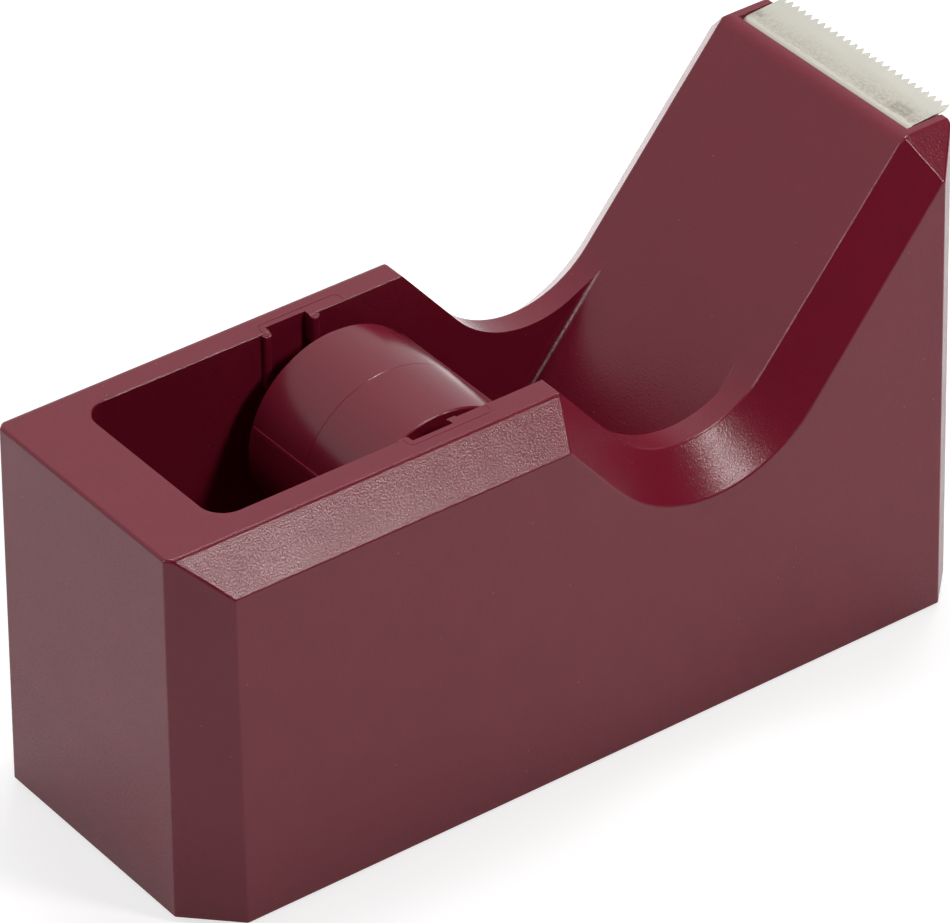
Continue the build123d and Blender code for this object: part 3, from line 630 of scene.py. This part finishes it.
# Turned steel: bright, with fine rings across the pin from the lathe tool.
turned_steel, tree, place = start_material("turned_steel")
rings = add(tree, "ShaderNodeTexWave", {
    "Vector": place,
    "Scale": per_metre(TURNING_MARK_MM) * WAVE_BAND,
    "Distortion": 1.0,
    "Detail": 2.0,
}, bands_direction="Y").outputs["Fac"]
roughness = add(tree, "ShaderNodeMapRange", {"Value": rings, "To Min": 0.2, "To Max": 0.32})
grooves = add(tree, "ShaderNodeBump", {"Height": rings, "Distance": TURNING_DEPTH_MM * MM})
shader = add(tree, "ShaderNodeBsdfPrincipled", {
    "Base Color": linear(AXLE_STEEL), "Metallic": 1.0, "Roughness": roughness, "Normal": grooves,
})
add(tree, "ShaderNodeOutputMaterial", {"Surface": shader})
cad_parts["hub_axle"].material_slots[0].material = turned_steel

# Hub: two burgundy ABS cups that plug together and carry the roll of tape.
# A fine ring shows where they meet, and three low ribs on each grip the core of the roll.
HUB_BURGUNDY = "77172C"
HUB_HAZE_MM = 9.0

# Gloss ABS from a polished mould: clearer reflections than the housing, a trace of haze and a little dust.
gloss_abs, tree, place = start_material("gloss_abs")
haze = add(tree, "ShaderNodeTexNoise", {"Vector": place, "Scale": per_metre(HUB_HAZE_MM)})
roughness = add(tree, "ShaderNodeMapRange", {
    "Value": haze, "From Min": NOISE_LOW, "From Max": NOISE_HIGH, "To Min": 0.2, "To Max": 0.27,
})
shader = add(tree, "ShaderNodeBsdfPrincipled", {
    "Base Color": dusted(tree, place, linear(HUB_BURGUNDY)),
    "Roughness": roughness,
    "IOR": 1.5,
    "Subsurface Weight": GLOW_SHARE,
    "Subsurface Radius": GLOW_SPREAD,
    "Subsurface Scale": GLOW_REACH_MM * MM,
})
add(tree, "ShaderNodeOutputMaterial", {"Surface": shader})
for name in ("hub_near_cup", "hub_far_cup"):
    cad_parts[name].material_slots[0].material = gloss_abs

# Floor: a wide sheet of pale paper, which keeps the object's shadow. The camera sees it nearly white.
# Reflections show it darker, except in a bright pool behind the object.
FLOOR_SIZE = 6.0
PAPER = "F0F0F0"
WHITE_SHARE = 0.5
WHITE_LEVEL = 1.45
MIRROR_SHARE = 0.3
POOL_CENTRE = (0.07, 0.1, 0.0)
POOL_RADIUS = 0.06
POOL_EDGE = 0.1
POOL_LEVEL = 1.75
bpy.ops.mesh.primitive_plane_add(size=FLOOR_SIZE)
floor = bpy.context.object
floor.name = "floor"
paper, tree, place = start_material("pale_paper")
rays = add(tree, "ShaderNodeLightPath").outputs
reach = add(tree, "ShaderNodeVectorMath", {0: place, 1: POOL_CENTRE}, operation="DISTANCE")
mirror_share = add(tree, "ShaderNodeMapRange", {
    "Value": reach,
    "From Min": POOL_RADIUS,
    "From Max": POOL_EDGE,
    "To Min": 1.0,
    "To Max": MIRROR_SHARE,
})
level = add(tree, "ShaderNodeMapRange", {
    "Value": reach,
    "From Min": POOL_RADIUS,
    "From Max": POOL_EDGE,
    "To Min": POOL_LEVEL,
    "To Max": WHITE_LEVEL,
})
mirrored = add(tree, "ShaderNodeMath", {
    0: rays["Is Glossy Ray"], 1: rays["Is Transmission Ray"],
}, operation="MAXIMUM")
mirrored = add(tree, "ShaderNodeMath", {0: mirrored, 1: mirror_share}, operation="MULTIPLY")
seen = add(tree, "ShaderNodeMath", {0: rays["Is Camera Ray"], 1: WHITE_SHARE}, operation="MULTIPLY")
share = add(tree, "ShaderNodeMath", {0: seen, 1: mirrored}, operation="MAXIMUM")
matt = add(tree, "ShaderNodeBsdfDiffuse", {"Color": linear(PAPER)})
white = add(tree, "ShaderNodeEmission", {"Strength": level})
sheet = add(tree, "ShaderNodeMixShader", {0: share, 1: matt, 2: white})
add(tree, "ShaderNodeOutputMaterial", {"Surface": sheet})
floor.data.materials.append(paper)

# Light: a white backdrop behind the object, a small warm lamp at the near right, a small lamp
# and a wide card on the left, and a softbox overhead. The card shows only in reflections.
BACKDROP_SIDE = (0.0, 1.0, 0.0)
BACKDROP_START = 0.05
BACKDROP_END = 0.45
BACKDROP_LEVEL = 1.05
ROOM_LEVEL = 0.02
AIM = Vector((0.0, 0.0, 0.03))
WARM_WHITE = "FFF8F7"
world = bpy.data.worlds.new("studio")
bpy.context.scene.world = world
world.use_nodes = True
tree = world.node_tree
tree.nodes.clear()
rays = add(tree, "ShaderNodeLightPath").outputs
direction = add(tree, "ShaderNodeTexCoord").outputs["Generated"]
towards = add(tree, "ShaderNodeVectorMath", {0: direction, 1: BACKDROP_SIDE}, operation="DOT_PRODUCT")
room = add(tree, "ShaderNodeMapRange", {
    "Value": towards,
    "From Min": BACKDROP_START,
    "From Max": BACKDROP_END,
    "To Min": ROOM_LEVEL,
    "To Max": BACKDROP_LEVEL,
})
level = add(tree, "ShaderNodeMath", {0: room, 1: rays["Is Camera Ray"]}, operation="MAXIMUM")
sky = add(tree, "ShaderNodeBackground", {"Strength": level})
add(tree, "ShaderNodeOutputWorld", {"Surface": sky})


def studio_light(name, toward, distance, size, radiance, colour="FFFFFF"):
    """Square area light that stands in a direction from the object and faces it."""
    light = bpy.data.lights.new(name, "AREA")
    light.size = size
    light.energy = radiance * math.pi * size * size
    light.color = linear(colour)[:3]
    lamp = new_object(name, light)
    back = Vector(toward).normalized()
    lamp.rotation_mode = "QUATERNION"
    lamp.rotation_quaternion = back.to_track_quat("Z", "Y")
    lamp.location = AIM + back * distance
    return lamp


studio_light("near_lamp", (0.138, -0.305, 0.3225), 0.465, size=0.08, radiance=41.0, colour=WARM_WHITE)
studio_light("left_lamp", (-0.83, 0.0, 0.54), 0.8, size=0.11, radiance=10.0)
card = studio_light("left_card", (-0.81, -0.02, 0.585), 0.8, size=0.4, radiance=4.0)
card.visible_diffuse = False
studio_light("top_softbox", (0.2, 0.17, 0.96), 0.8, size=0.22, radiance=17.5)

# Camera: a long lens, high on the near rear side, that frames the object as wide as the picture.
VIEW_TURN = math.radians(36.25)
VIEW_RISE = math.radians(34.97)
VIEW_ROLL = math.radians(-0.73)
VIEW_DISTANCE = 859.85 * MM
VIEW_CENTRE = Vector((-0.06, 1.99, 30.02)) * MM
SENSOR_WIDTH = 36.0
LENS = 275.03
lens = bpy.data.cameras.new("camera")
lens.sensor_width = SENSOR_WIDTH
lens.lens = LENS
camera = new_object("camera", lens)
level_back = Vector((-math.sin(VIEW_TURN), -math.cos(VIEW_TURN), 0)) * math.cos(VIEW_RISE)
back = level_back + Vector((0, 0, math.sin(VIEW_RISE)))
camera.rotation_mode = "QUATERNION"
camera.rotation_quaternion = back.to_track_quat("Z", "Y") @ Quaternion((0, 0, 1), VIEW_ROLL)
camera.location = VIEW_CENTRE + back * VIEW_DISTANCE
bpy.context.scene.camera = camera
bpy.context.scene.view_settings.view_transform = "Standard"
